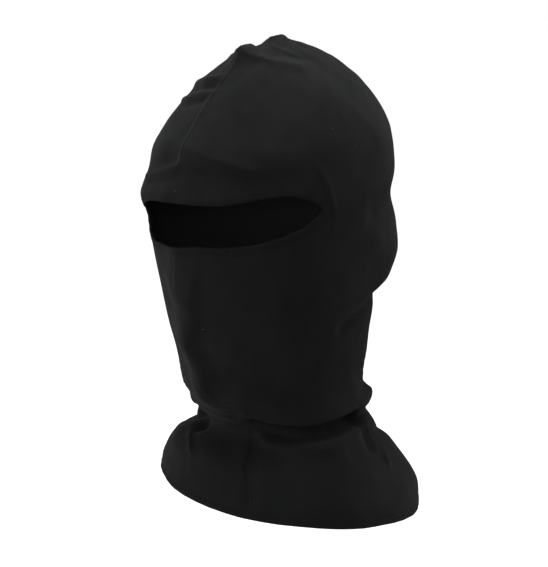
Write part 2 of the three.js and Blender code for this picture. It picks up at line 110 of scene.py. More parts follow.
# turn, level, band: the opening's edge, from its left corner over the brow and back
EYE_EDGE = np.array([
    (1.00, -0.25, 0.36), (0.95, -0.43, 0.54), (0.80, -0.58, 0.66), (0.61, -0.56, 0.76),
    (0.35, -0.44, 0.97), (0.08, -0.43, 1.00), (-0.13, -0.39, 0.90), (-0.31, -0.26, 0.72),
    (-0.46, -0.08, 0.50), (-0.54, 0.14, 0.36), (-0.52, 0.38, 0.28), (-0.40, 0.54, 0.27),
    (-0.18, 0.56, 0.27), (0.07, 0.49, 0.27), (0.37, 0.42, 0.27), (0.59, 0.33, 0.27),
    (0.77, 0.18, 0.28), (0.91, 0.01, 0.30),
])

# name, rise, spread, path of (angle, level): soft folds, ridges and hollows of the worn form
FORM_FOLDS = (
    ("front peak", 6.4, 7.8, ((0, 0.045), (0, 0.070))),
    ("top peak", 5.0, 6.3, ((0, 0.001), (0, 0.007))),
    ("crown pleat", 1.8, 4.8, ((-50, 0.070), (24, 0.063), (68, 0.100))),
    ("crown pleat hollow", -1.2, 4.8, ((0, 0.030), (60, 0.050), (85, 0.070))),
    ("upper pucker", 1.8, 4.2, ((-50, 0.210), (-5, 0.160))),
    ("upper pucker hollow", -1.8, 4.2, ((-44, 0.245), (-5, 0.195))),
    ("lower pucker", 1.6, 4.2, ((-36, 0.280), (-5, 0.225))),
    ("lower pucker hollow", -1.6, 4.2, ((-38, 0.317), (-6, 0.257))),
    ("brow fullness", 1.4, 10.2, ((-45, 0.535), (0, 0.465), (30, 0.480), (60, 0.520))),
    ("brow tuck", -0.3, 4.8, ((-18, 0.620), (8, 0.567), (22, 0.556), (40, 0.585), (60, 0.606))),
    ("face ridge", 3.2, 12.0, ((-2, 1.00), (-6, 1.20), (-8, 1.43), (-7, 1.62), (-2, 1.83), (-3, 2.25))),
    ("ear hollow", -3.0, 12.0, ((155, 0.79), (132, 0.81), (105, 0.84))),
    ("nape fullness", 1.8, 13.2, ((155, 1.12), (125, 1.15))),
    ("nape crease", -2.6, 6.0, ((135, 1.42), (112, 1.45), (99, 1.49), (90, 1.55))),
    ("nape crease right", -2.2, 6.0, ((-140, 1.44), (-115, 1.47), (-96, 1.52))),
    ("roll hollow", -1.6, 8.1, ((126, 1.98), (93, 1.98), (63, 2.00), (30, 2.30))),
    ("roll", 2.6, 6.0, ((140, 2.55), (103, 2.56), (70, 2.68), (40, 2.72), (5, 2.72), (-25, 2.74))),
    ("roll right", 3.4, 7.2, ((-150, 2.55), (-110, 2.52), (-70, 2.62), (-42, 2.72))),
    ("pocket", -7.6, 6.8, ((24, 2.84), (36, 2.94), (55, 2.98), (75, 2.97), (92, 2.90), (108, 2.82))),
    ("pocket lip", 2.8, 4.5, ((20, 2.96), (30, 3.10), (42, 3.15), (72, 3.15), (88, 3.12), (118, 3.02))),
    ("chin notch", -9.0, 6.0, ((-46, 3.02), (-34, 3.05), (-25, 3.12))),
    ("right pull", -5.6, 7.5, ((-50, 3.17), (-70, 3.19), (-95, 3.12), (-130, 2.95))),
    ("shoulder hollow", -3.6, 9.0, ((124, 3.17), (140, 3.22), (165, 3.20))),
    ("side crease", 2.2, 4.2, ((123, 2.97), (118, 3.21), (116, 3.39))),
    ("side hollow", -2.2, 4.8, ((112, 3.02), (108, 3.24))),
    ("skirt dip", -1.4, 5.4, ((14, 2.65), (24, 3.09), (28, 3.44), (27, 3.90))),
)

# name, rise, spread, steep, path: small folds that fade at both ends. The side to the right of
# the path, seen from outside and walking along it, keeps a share "steep" of the spread.
FINE_FOLDS = (
    ("peak crease", 1.2, 3.4, 0.45, ((-48, 0.070), (-23, 0.066), (12, 0.073), (28, 0.068), (52, 0.092))),
    ("back peak crease", 1.0, 3.0, 0.50, ((4, 0.012), (17, 0.016), (38, 0.024), (53, 0.032), (65, 0.047),
                                          (84, 0.064))),
    ("front shoulder", 1.5, 4.0, 1.00, ((-10, 0.070), (2, 0.060), (9, 0.040), (16, 0.018), (30, 0.010))),
    ("upper pucker edge", 0.8, 2.6, 0.50, ((-34, 0.195), (-28, 0.185), (-8, 0.158), (4, 0.125))),
    ("lower pucker edge", 0.7, 2.6, 0.50, ((-50, 0.268), (-44, 0.260), (-8, 0.221), (3, 0.197))),
    ("brow lip right", 2.3, 6.0, 0.38, ((-4, 0.462), (5, 0.483), (16, 0.513), (26, 0.533), (34, 0.554),
                                        (41, 0.569), (52, 0.585))),
    ("brow lip left", 1.8, 4.2, 0.42, ((-40, 0.662), (-24, 0.646), (-12, 0.606), (-2, 0.575), (3, 0.540),
                                       (5, 0.490))),
    ("brow hollow", -1.3, 2.8, 1.00, ((-32, 0.680), (-12, 0.638), (-1, 0.608), (7, 0.580), (15, 0.568),
                                      (26, 0.568))),
    ("brow dip", -1.2, 4.6, 1.00, ((-32, 0.610), (-15, 0.582), (-6, 0.550), (1, 0.515))),
    ("corner ridge", 0.9, 3.2, 0.60, ((66, 0.540), (72, 0.567), (78, 0.685), (81, 0.815), (80, 0.920))),
    ("face crease", 4.4, 13.0, 0.42, ((-18, 2.50), (-6, 2.15), (2, 1.84), (-1, 1.72), (-5, 1.63), (1, 1.46),
                                      (1, 1.35), (5, 1.17), (8, 0.94))),
    ("side pull", 0.9, 3.0, 0.60, ((119, 2.93), (116, 3.08), (113, 3.24), (111, 3.34))),
    ("side pull two", 0.9, 3.0, 0.60, ((124, 3.05), (128, 3.16), (132, 3.34), (134, 3.45))),
    ("left pull", 1.5, 2.8, 0.60, ((-32, 3.20), (-29, 3.26), (-21, 3.32), (-14, 3.41), (-8, 3.50))),
    ("left pull two", 0.7, 2.8, 0.60, ((-7, 3.10), (4, 2.98), (12, 2.90))),
    ("seam groove", -0.9, 1.9, 1.00, ((15, 2.74), (17, 2.90), (20, 3.11), (23, 3.26), (26, 3.53),
                                      (26.5, 3.75))),
)


def drop_at(level):
    """How far below the crown a level lies."""
    marks = np.concatenate([[0], np.cumsum([zone[0] for zone in ZONES])])
    return np.interp(level, range(len(marks)), marks)


def read_smooth(keys, values, at):
    """A smooth cubic curve through rows of values at rising keys, read at places between them."""
    at = np.asarray(at, float)
    i = np.clip(np.searchsorted(keys, at, side="right") - 1, 0, len(keys) - 2)
    before, after = np.maximum(i - 1, 0), np.minimum(i + 2, len(keys) - 1)
    step = keys[i + 1] - keys[i]
    t = ((at - keys[i]) / step).T
    start = (values[i + 1] - values[before]).T / (keys[i + 1] - keys[before]).T * step.T
    end = (values[after] - values[i]).T / (keys[after] - keys[i]).T * step.T
    return ((2 * t**3 - 3 * t**2 + 1) * values[i].T + (t**3 - 2 * t**2 + t) * start
            + (3 * t**2 - 2 * t**3) * values[i + 1].T + (t**3 - t**2) * end).T


def stations():
    """The sections at their real sizes, with the first mirrored over the crown, and their runs."""
    zone = np.array([ZONES[min(int(level), len(ZONES) - 1)] for level in SECTIONS[:, 0]])
    rows = np.column_stack([
        drop_at(SECTIONS[:, 0]),
        SECTIONS[:, 1] * zone[:, 1] / 2,
        SECTIONS[:, 2] * zone[:, 2] / 2,
        SECTIONS[:, 4] * zone[:, 2] / 2,
        SECTIONS[:, 3] * zone[:, 2] / 2,
        SECTIONS[:, 5],
        SECTIONS[:, 6] * HEM_RISE,
    ])
    ghost = rows[1].copy()
    ghost[1] *= -1
    ghost[2:4] = 2 * rows[0, 2:4] - rows[1, 2:4]
    rows = np.vstack([ghost, rows])
    steps = np.linalg.norm(np.diff(rows[:, :4], axis=0), axis=1)
    steps[0] = np.linalg.norm(rows[1, :4] - rows[2, :4])
    runs = np.concatenate([[0], np.cumsum(steps)])
    return rows, runs - runs[1]


STATIONS, RUNS = stations()
FULL_RUN = RUNS[-1]
RUN_LADDER = np.linspace(0, FULL_RUN, 4001)
DROP_LADDER = read_smooth(RUNS, STATIONS, RUN_LADDER)[:, 0]


def run_at(drop):
    return np.interp(drop, DROP_LADDER, RUN_LADDER)


def drop_of(run):
    return np.interp(run, RUN_LADDER, DROP_LADDER)


def hem_wave(angle):
    turns = np.concatenate([HEM_WAVE + (turn, 0) for turn in (-360, 0, 360)])
    return read_smooth(np.radians(turns[:, 0]), turns[:, 1], angle)


def seam_angle(run):
    """The angle that the front seam lies at, at a run down the wall."""
    return read_smooth(drop_at(FRONT_SEAM_DRIFT[:, 0]), np.radians(FRONT_SEAM_DRIFT[:, 1]), drop_of(run))


def plain_point(angle, run):
    """Points of the wall's outer face with no folds in it, in millimetres."""
    section = read_smooth(RUNS, STATIONS, run)
    drop, wide, front, back, mid, square, lean = np.moveaxis(section, -1, 0)
    side, ahead = np.sin(angle), np.cos(angle)
    power = 2 / square
    reach = np.where(ahead > 0, front + mid, back - mid)
    y = mid - np.sign(ahead) * reach * np.abs(ahead) ** power
    skirt = np.clip((drop - SKIRT_TOP) / SKIRT_HEIGHT, 0, 1)
    z = -drop - lean * y / (SKIRT_LENGTH / 2) - skirt * hem_wave(angle) * SKIRT_HEIGHT
    return np.stack([wide * np.sign(side) * np.abs(side) ** power, y, z], -1)


def unit(vectors):
    return vectors / np.maximum(np.linalg.norm(vectors, axis=-1, keepdims=True), 1e-9)


def plain_slopes(angle, run):
    """Unit directions round the plain wall, down it and out of it."""
    round_it = unit(plain_point(angle + SLOPE_ANGLE, run) - plain_point(angle - SLOPE_ANGLE, run))
    low = np.minimum(run + SLOPE_RUN, FULL_RUN)
    down = unit(plain_point(angle, low) - plain_point(angle, run - SLOPE_RUN))
    out = unit(np.cross(down, round_it))
    out[np.asarray(run) < SLOPE_RUN] = (0, 0, 1)
    return round_it, down, out


def smooth_step(low, high, value):
    t = np.clip((value - low) / (high - low), 0, 1)
    return t * t * (3 - 2 * t)


def laid_line(path, parts):
    """A path of angles and levels laid on the plain wall, each leg in some parts."""
    line = []
    for (angle, level), (next_angle, next_level) in zip(path[:-1], path[1:]):
        share = np.linspace(0, 1, parts + 1)
        turn = np.radians(angle + (next_angle - angle) * share)
        run = run_at(drop_at(level + (next_level - level) * share))
        line.extend(plain_point(turn, run))
    return np.array(line)


def beside_line(points, out, line):
    """Distance of points to a line, their share along it and the side that they lie on."""
    best = np.full(points.shape[:-1], 1e9)
    share, side = np.zeros_like(best), np.zeros_like(best)
    lengths = np.linalg.norm(np.diff(line, axis=0), axis=1)
    total = lengths.sum()
    passed = 0.0
    for start, end, length in zip(line[:-1], line[1:], lengths):
        if length < 1e-6:
            continue
        leg = end - start
        t = np.clip((points - start) @ leg / length**2, 0, 1)
        away = points - start - t[..., None] * leg
        distance = np.linalg.norm(away, axis=-1)
        nearer = distance < best
        best = np.where(nearer, distance, best)
        share = np.where(nearer, (passed + t * length) / total, share)
        side = np.where(nearer, np.sign((np.cross(leg, out) * away).sum(-1)), side)
        passed += length
    return best, share, side


FORM_LINES = [(rise, spread, laid_line(path, 4)) for _, rise, spread, path in FORM_FOLDS]
FINE_LINES = [(rise, spread, steep, laid_line(path, 8)) for _, rise, spread, steep, path in FINE_FOLDS]

# Slow unevenness of the knit: waves round the hood, wave length down, slant, phase and height.
RIPPLES = (
    (8, 83, 0.35, 0.4, 0.30), (-11, 58, 0.80, 2.1, 0.22), (17, -71, 0.50, 4.0, 0.14),
    (-22, 31, 0.20, 1.2, 0.10), (30, 43, 0.90, 5.3, 0.06),
)
# Fine level wrinkles where the tube of the neck is pressed together.
NECK_WRINKLES = ((7.4, 0.16, 0.9), (5.1, 0.09, 3.1))
# Drops between which these wrinkles set in and die away, and the run over which the crown is calm.
WRINKLES_START, WRINKLES_END, CALM_CROWN = (228, 246), (288, 306), 20
# The share of a small fold's length over which it fades at each end.
FOLD_FADE = 0.3


def unevenness(angle, run):
    """Small rises and hollows that the knit has everywhere, in millimetres."""
    rise = 0
    for waves, wave_down, slant, phase, height in RIPPLES:
        round_it = np.sin(waves * angle + slant * np.sin(run / 37) + phase)
        rise = rise + height * round_it * np.cos(run / wave_down * 2 * np.pi + phase * 1.7)
    drop = drop_of(run)
    neck = smooth_step(*WRINKLES_START, drop) * (1 - smooth_step(*WRINKLES_END, drop))
    for wave, height, phase in NECK_WRINKLES:
        bend = 1.1 * np.sin(2 * angle + phase) + 0.6 * np.sin(5 * angle - phase)
        strength = neck * height * (0.6 + 0.4 * np.sin(3 * angle + phase))
        rise = rise + strength * np.sin(run / wave * 2 * np.pi + bend)
    return rise


def cloth_point(angle, run, out=0.0):
    """Points of the worn cloth in metres, out from its outer face by a distance."""
    angle, run = np.broadcast_arrays(np.asarray(angle, float), np.asarray(run, float))
    points = plain_point(angle, run)
    normal = plain_slopes(angle, run)[2]
    rise = unevenness(angle, run) * smooth_step(0, CALM_CROWN, run)
    for height, spread, line in FORM_LINES:
        distance = beside_line(points, normal, line)[0]
        rise = rise + height * np.exp(-((distance / spread) ** 2))
    for height, spread, steep, line in FINE_LINES:
        distance, share, side = beside_line(points, normal, line)
        wide = np.where(side > 0, spread * steep, spread)
        fade = smooth_step(0, FOLD_FADE, share) * (1 - smooth_step(1 - FOLD_FADE, 1, share))
        rise = rise + height * fade * np.exp(-((distance / wide) ** 2))
    return (points + normal * (rise + out)[..., None]) * MM


# The unrolled wall: x runs round the head and y down it, in millimetres.
def unrolled(angle, run):
    return np.stack([np.asarray(angle) * HEAD_WIDTH / 2, drop_of(run)], -1)


def closed_curve(points, count):
    """Evenly numbered places on a closed smooth curve through points, and its directions."""
    at = np.arange(count) / count * len(points)
    i = np.floor(at).astype(int)
    t = (at - i)[:, None]
    a, b, c, d = (points[(i + k) % len(points)] for k in (-1, 0, 1, 2))
    # The same centripetal curve that the solids follow.
    ab, bc, cd = (np.sqrt(np.linalg.norm(q - p, axis=1, keepdims=True)) for p, q in ((a, b), (b, c), (c, d)))
    start = ((b - a) / ab - (c - a) / (ab + bc) + (c - b) / bc) * bc
    end = ((c - b) / bc - (d - b) / (bc + cd) + (d - c) / cd) * bc
    place = ((2 * t**3 - 3 * t**2 + 1) * b + (t**3 - 2 * t**2 + t) * start
             + (3 * t**2 - 2 * t**3) * c + (t**3 - t**2) * end)
    slope = ((6 * t**2 - 6 * t) * b + (3 * t**2 - 4 * t + 1) * start
             + (6 * t - 6 * t**2) * c + (3 * t**2 - 2 * t) * end)
    return place, slope


BAND_STEPS = 252
EYE_POINTS = EYE_EDGE * (EYE_REACH, EYE_HEIGHT, BAND_WIDTH) + (0, EYE_LEVEL, 0)
EYE_PLACES, EYE_SLOPES = closed_curve(EYE_POINTS, BAND_STEPS)
EYE_OUTWARD = unit(np.stack([-EYE_SLOPES[:, 1], EYE_SLOPES[:, 0]], -1))


def band_place(across, beyond=0.0):
    """Places on the unrolled band: across is 0 at the opening and 1 at its outer edge."""
    reach = across * EYE_PLACES[:, 2:] + beyond
    return EYE_PLACES[:, :2] + EYE_OUTWARD * reach


def inside(points, ring):
    """Whether points of the unrolled wall lie inside a closed ring."""
    crossings = np.zeros(len(points), int)
    for (x0, y0), (x1, y1) in zip(ring, np.roll(ring, -1, axis=0)):
        spans = (y0 > points[:, 1]) != (y1 > points[:, 1])
        if not spans.any():
            continue
        at = x0 + (points[:, 1] - y0) / (y1 - y0 if y1 != y0 else 1e-9) * (x1 - x0)
        crossings += spans & (points[:, 0] < at)
    return crossings % 2 == 1


def nearest_on_ring(points, ring):
    """The nearest places on a closed ring."""
    best = np.full(len(points), 1e9)
    places = points.copy()
    for start, end in zip(ring, np.roll(ring, -1, axis=0)):
        leg = end - start
        t = np.clip((points - start) @ leg / (leg @ leg), 0, 1)
        at = start + t[:, None] * leg
        distance = np.linalg.norm(points - at, axis=1)
        nearer = distance < best
        best[nearer], places[nearer] = distance[nearer], at[nearer]
    return places


def read_points(obj):
    points = np.empty(len(obj.data.vertices) * 3, np.float32)
    obj.data.vertices.foreach_get("co", points)
    return points.reshape(-1, 3).astype(float)


def write_points(obj, points):
    obj.data.vertices.foreach_set("co", np.asarray(points, np.float32).ravel())
    obj.data.update()


def corner_vertices(mesh):
    """The vertex at each corner of each face."""
    owner = np.empty(len(mesh.loops), np.int32)
    mesh.loops.foreach_get("vertex_index", owner)
    return owner


def write_pattern(mesh, u, v):
    """Writes the place of each corner on the flat cloth, in metres."""
    layer = mesh.uv_layers.active
    layer.name = "pattern"
    layer.data.foreach_set("uv", np.stack([u, v], -1).astype(np.float32).ravel())


def take(obj):
    """Selects one object alone and makes it active."""
    bpy.ops.object.select_all(action="DESELECT")
    obj.select_set(True)
    bpy.context.view_layer.objects.active = obj


def named(name):
    """Names the new active object, with its place and turn taken into its mesh."""
    obj = bpy.context.object
    obj.name = obj.data.name = name
    take(obj)
    bpy.ops.object.transform_apply(location=True, rotation=True, scale=True)
    return obj


def in_edit(obj, operator, mode="VERT", **values):
    """Runs an operator in edit mode, with the whole of an object selected by points, edges or faces."""
    take(obj)
    bpy.ops.object.mode_set(mode="EDIT")
    bpy.ops.mesh.select_mode(type=mode)
    bpy.ops.mesh.select_all(action="SELECT")
    operator(**values)
    bpy.ops.object.mode_set(mode="OBJECT")


def add_wall(obj, wall):
    """Gives an open sheet its thickness, inward from its outer face."""
    take(obj)
    thick = obj.modifiers.new("wall", "SOLIDIFY")
    thick.thickness = wall * MM
    thick.offset = -1
    thick.use_even_offset = True
    bpy.ops.object.modifier_apply(modifier=thick.name)


def mark_within(obj, within):
    """Marks the vertices that lie on the inner face."""
    layer = obj.data.attributes.new("within", "FLOAT", "POINT")
    layer.data.foreach_set("value", np.asarray(within, np.float32))


def finish_piece(obj, material):
    take(obj)
    bpy.ops.object.shade_smooth()
    obj.data.materials.clear()
    obj.data.materials.append(material)
    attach(obj, "root")


def faces_outward(obj, outward):
    """Turns a sheet's faces over if they point against the given directions at its vertices."""
    normals = np.array([vertex.normal for vertex in obj.data.vertices])
    if (normals * outward).sum() < 0:
        in_edit(obj, bpy.ops.mesh.flip_normals)


def flat_sheet(name, columns, rows):
    """A flat grid from 0 to 1 both ways, as cut cloth lies before it is worn."""
    bpy.ops.mesh.primitive_grid_add(
        x_subdivisions=columns, y_subdivisions=rows, size=1, location=(0.5, 0.5, 0))
    return named(name)


PANEL_COLUMNS, PANEL_ROWS, MERGE_WITHIN = 178, 262, 0.02
CLOTH_END = FULL_DROP - HEM_WIDTH + 1.5
HOOD_MIDDLE = (0, 0.01, -0.17)
# Shares of the band's width, from the opening: where a panel ends under it, up to where it is
# pressed in, and by how many millimetres.
PANEL_EDGE, PRESSED_TO, PRESSED_BY = 0.55, 0.86, 0.4
# share by which rows lie closer together, and the drops where that starts and ends: the neck, the
# crown and the brow
CLOSER_ROWS = ((0.45, (222, 240), (306, 324)), (0.3, (-2, -1), (60, 80)), (0.7, (60, 68), (88, 96)))


def panel_rows(share):
    """Runs of the panel's rows, closer together where the folds are fine."""
    dense = np.linspace(0, run_at(CLOTH_END), 2001)
    drop = drop_of(dense)
    weight = 1
    for closer, start, end in CLOSER_ROWS:
        weight = weight + closer * smooth_step(*start, drop) * (1 - smooth_step(*end, drop))
    ladder = np.concatenate([[0], np.cumsum((weight[1:] + weight[:-1]) / 2)])
    return np.interp(share, ladder / ladder[-1], dense)


def panel(name, side):
    """One side of the hood: cut flat, opened for the eyes, and laid over the worn form."""
    obj = flat_sheet(name, PANEL_COLUMNS, PANEL_ROWS)
    shares = read_points(obj)
    run = panel_rows(1 - shares[:, 1])
    start = seam_angle(run)
    angle = start + (side * math.pi - start) * shares[:, 0]
    flat = unrolled(angle, run)
    rim = band_place(PANEL_EDGE)
    corners = np.array([tuple(face.vertices) for face in obj.data.polygons])
    gone = inside(flat[corners].mean(axis=1), rim)
    on_gone, on_kept = np.zeros(len(flat), bool), np.zeros(len(flat), bool)
    on_gone[corners[gone].ravel()] = True
    on_kept[corners[~gone].ravel()] = True
    edge = on_gone & on_kept & (shares[:, 0] > 1e-6)
    flat[edge] = nearest_on_ring(flat[edge], rim)
    angle[edge] = flat[edge, 0] / (HEAD_WIDTH / 2)
    run[edge] = run_at(flat[edge, 1])
    under_band = inside(flat, band_place(PRESSED_TO))
    write_points(obj, cloth_point(angle, run, np.where(under_band, -PRESSED_BY, 0.0)))
    in_edit(obj, bpy.ops.mesh.select_all, "FACE", action="DESELECT")
    obj.data.polygons.foreach_set("select", gone)
    bpy.ops.object.mode_set(mode="EDIT")
    bpy.ops.mesh.delete(type="FACE")
    bpy.ops.object.mode_set(mode="OBJECT")
    in_edit(obj, bpy.ops.mesh.remove_doubles, threshold=MERGE_WITHIN * MM)
    in_edit(obj, bpy.ops.uv.unwrap, method="CONFORMAL", margin=0)
    faces_outward(obj, read_points(obj) - HOOD_MIDDLE)
    pattern_scale(obj, side)
    return obj


def pattern_scale(obj, side):
    """Turns and scales the unwrapped pattern to real metres, with its length down the wall."""
    mesh = obj.data
    places = np.empty(len(mesh.loops) * 2, np.float32)
    mesh.uv_layers.active.data.foreach_get("uv", places)
    places = places.reshape(-1, 2).astype(float)
    points = read_points(obj)[corner_vertices(mesh)]
    middle = (np.abs(points[:, 0]) > 0.05) & (points[:, 2] < -0.08) & (points[:, 2] > -0.24)
    a, b = places[middle], points[middle][:, [1, 2]] * (side, 1)
    a, b = a - a.mean(0), b - b.mean(0)
    cross, dot = (a[:, 0] * b[:, 1] - a[:, 1] * b[:, 0]).sum(), (a * b).sum()
    flip = (a[:, 0] * b[:, 1] + a[:, 1] * b[:, 0]).sum(), (a[:, 0] * b[:, 0] - a[:, 1] * b[:, 1]).sum()
    if math.hypot(*flip) > math.hypot(cross, dot):
        places[:, 0] *= -1
        a[:, 0] *= -1
        cross, dot = (a[:, 0] * b[:, 1] - a[:, 1] * b[:, 0]).sum(), (a * b).sum()
    turn = math.atan2(cross, dot)
    rotation = np.array([[math.cos(turn), math.sin(turn)], [-math.sin(turn), math.cos(turn)]])
    scale = math.sqrt((b * b).sum() / (a * a).sum())
    places = (places - places[middle].mean(0)) @ rotation * scale
    write_pattern(mesh, *places.T)


def ring_grid(name, steps, around):
    """A closed ring with a closed outline, ready to be laid section by section."""
    bpy.ops.mesh.primitive_torus_add(
        major_segments=steps, minor_segments=around, major_radius=0.1, minor_radius=0.01)
    return named(name)


def lay_ring(obj, sections, lengths, widths):
    """Moves a ring's vertices to its sections and writes its pattern in metres."""
    steps, around = sections.shape[:2]
    write_points(obj, sections.reshape(-1, 3))
    mesh = obj.data
    owner = corner_vertices(mesh)
    step, place = owner // around, owner % around
    faces = np.repeat(np.arange(len(mesh.polygons)), 4)
    last_step = np.zeros(len(mesh.polygons), bool)
    last_place = np.zeros(len(mesh.polygons), bool)
    np.logical_or.at(last_step, faces, step == steps - 1)
    np.logical_or.at(last_place, faces, place == around - 1)
    wrap_step = last_step[faces] & (step == 0)
    wrap_place = last_place[faces] & (place == 0)
    u = np.where(wrap_step, lengths[-1], lengths[step])
    v = np.where(wrap_place, widths[-1], widths[place])
    write_pattern(mesh, u, v)
    in_edit(obj, bpy.ops.mesh.normals_make_consistent, inside=False)


def path_lengths(points):
    """Lengths along a path, from 0 to its whole length."""
    return np.concatenate([[0], np.cumsum(np.linalg.norm(np.diff(points, axis=0), axis=1))])


def ring_lengths(points):
    """Lengths along a closed ring, from 0 to its whole length."""
    return path_lengths(np.concatenate([points, points[:1]]))


# across, out: from the folded edge at the opening to the edge under the panel and back inside
BAND_PROFILE = np.array([
    (0.00, -0.05), (0.008, 0.28), (0.035, 0.46), (0.10, 0.50), (0.22, 0.48), (0.36, 0.46),
    (0.52, 0.44), (0.68, 0.41), (0.82, 0.36), (0.92, 0.27), (1.00, 0.18), (1.03, -0.10),
    (0.92, -0.36), (0.60, -0.42), (0.25, -0.46), (0.035, -0.42), (0.008, -0.30),
])


# height, waves round the opening, phase: small pulls along the folded edge
BAND_PULLS = ((0.20, 9, 0.6), (0.12, 17, 2.2), (0.08, 31, 0.0))
# Points of the band's profile further in than this share of its wall lie on the inner face.
WITHIN = -0.32


def eye_band():
    """The folded band round the opening, with small uneven pulls along its edge."""
    obj = ring_grid("eye_band_cloth", BAND_STEPS, len(BAND_PROFILE))
    step = np.arange(BAND_STEPS) / BAND_STEPS * 2 * math.pi
    pull = sum(height * np.sin(waves * step + phase) for height, waves, phase in BAND_PULLS)
    sections = []
    for across, out in BAND_PROFILE:
        inward = pull[:, None] * (1 - across)
        places = band_place(across, inward)
        angle, run = places[:, 0] / (HEAD_WIDTH / 2), run_at(places[:, 1])
        lift = 0.15 * np.sin(23 * step + 4 * across) * (1 - across)
        sections.append(cloth_point(angle, run, out * BAND_WALL - CLOTH_WALL / 2 + lift))
    sections = np.stack(sections, 1)
    lay_ring(obj, sections, ring_lengths(sections[:, 4]), ring_lengths(sections[60]))
    mark_within(obj, np.tile(BAND_PROFILE[:, 1] < WITHIN, BAND_STEPS))
    return obj


# down, out: from the top of the hem to its lower edge and back inside
HEM_PROFILE = np.array([
    (-0.08, 0.08), (0.00, 0.20), (0.10, 0.28), (0.22, 0.31), (0.45, 0.34), (0.72, 0.35),
    (0.90, 0.28), (1.00, 0.04), (1.00, -0.22), (0.88, -0.46), (0.55, -0.50), (0.15, -0.46), (-0.08, -0.30),
])
HEM_STEPS = 256


def neck_hem():
    """The rolled hem at the bottom of the skirt."""
    obj = ring_grid("neck_hem_cloth", HEM_STEPS, len(HEM_PROFILE))
    angle = np.arange(HEM_STEPS) / HEM_STEPS * 2 * math.pi
    top = FULL_DROP - HEM_WIDTH
    sections = []
    for down, out in HEM_PROFILE:
        run = np.full(HEM_STEPS, run_at(top + min(down, 1) * HEM_WIDTH))
        lift = 0.12 * np.sin(41 * angle + 3 * down)
        sections.append(cloth_point(angle, run, out * HEM_WALL - CLOTH_WALL / 2 + lift))
    sections = np.stack(sections, 1)
    lay_ring(obj, sections, ring_lengths(sections[:, 4]), ring_lengths(sections[0]))
    return obj


# side, out: a low round ridge whose feet lie in the cloth
SEAM_PROFILE = np.array([
    (-1.00, -0.20), (-0.86, 0.10), (-0.68, 0.34), (-0.46, 0.66), (-0.22, 0.92), (0.00, 1.00),
    (0.22, 0.92), (0.46, 0.66), (0.68, 0.34), (0.86, 0.10), (1.00, -0.20),
])
# height, turn in each step, phase: how the ridge strays sideways, and how its height swells
SEAM_WOBBLE, SEAM_SWELL = ((0.18, 0.9, 0.0), (0.12, 2.3, 1.0)), (0.14, 1.7, 0.5)


def seam_strip(name, angle, run, width, rise):
    """A raised strip along a seam, over places given from one end to the other."""
    obj = flat_sheet(name, len(SEAM_PROFILE) - 1, len(run) - 1)
    middle = cloth_point(angle, run)
    round_it, _, out = plain_slopes(angle, run)
    round_it[run < SLOPE_RUN] = (1, 0, 0)
    side = np.where(round_it[:, :1] < 0, -round_it, round_it)
    along = np.arange(len(run))
    wobble = sum(height * np.sin(along * turn + phase) for height, turn, phase in SEAM_WOBBLE)
    swell = 1 + SEAM_SWELL[0] * np.sin(along * SEAM_SWELL[1] + SEAM_SWELL[2])
    shift = SEAM_PROFILE[:, 0] * width / 2
    rows = (middle[:, None] + side[:, None] * ((shift + wobble[:, None]) * MM)[..., None]
            + out[:, None] * (SEAM_PROFILE[:, 1] * rise * swell[:, None] * MM)[..., None])
    write_points(obj, rows.reshape(-1, 3))
    owner = corner_vertices(obj.data)
    lengths = path_lengths(middle)
    u = lengths[owner // len(SEAM_PROFILE)]
    v = shift[owner % len(SEAM_PROFILE)] * MM
    write_pattern(obj.data, u, v)
    faces_outward(obj, np.repeat(out, len(SEAM_PROFILE), axis=0))
    add_wall(obj, SEAM_WALL)
    return obj


def ring_height(x, ring, above):
    """Where a ring crosses a line down the unrolled wall, above or below the eyes."""
    drops = []
    for (x0, y0), (x1, y1) in zip(ring, np.roll(ring, -1, axis=0)):
        if (x0 - x) * (x1 - x) <= 0 and x0 != x1:
            drops.append(y0 + (y1 - y0) * (x - x0) / (x1 - x0))
    return min(drops) if above else max(drops)


SEAM_SPACING = 1.6
# Shares of the band's width at which the crown seam and the front seam end.
CROWN_SEAM_END, FRONT_SEAM_END = 0.96, 0.90


def spaced(start, end):
    return np.linspace(start, end, max(int(abs(end - start) / SEAM_SPACING), 2))


def crown_seam_places():
    """Angles and runs from the brow over the crown and down the back to the hem."""
    brow = run_at(ring_height(0, band_place(CROWN_SEAM_END), True))
    front, back = spaced(brow, 0), spaced(0, run_at(CLOTH_END))[1:]
    angle = np.concatenate([np.zeros(len(front)), np.full(len(back), math.pi)])
    return angle, np.concatenate([front, back])


def front_seam_places():
    """Angles and runs from under the opening down to the hem."""
    nose = run_at(ring_height(-1, band_place(FRONT_SEAM_END), False))
    run = spaced(nose, run_at(CLOTH_END))
    return seam_angle(run), run


# Thread.
STITCH_LENGTH, STITCH_WIDTH, STITCH_SPACING = 2.2, 0.26, 3.1
# Shares of the thread's width: how much thinner its ends are, how high it stands and how far it dips.
STITCH_TAPER, STITCH_LIFT, STITCH_DIP = 0.35, 0.26, 0.46
# Rows of stitches: place across the band or down the hem, and how far out of the cloth they lie.
BAND_ROW_PLACE, BAND_ROW_OUT, BAND_ROW_LIMIT = 3.6, 0.42, 0.86
HEM_ROW_PLACE, HEM_ROW_OUT = 0.30, 0.50
SEAM_ROW_OUT, SEAM_ROW_SPACING, SEAM_ROW_SLANT = 0.52, 2.6, 0.5


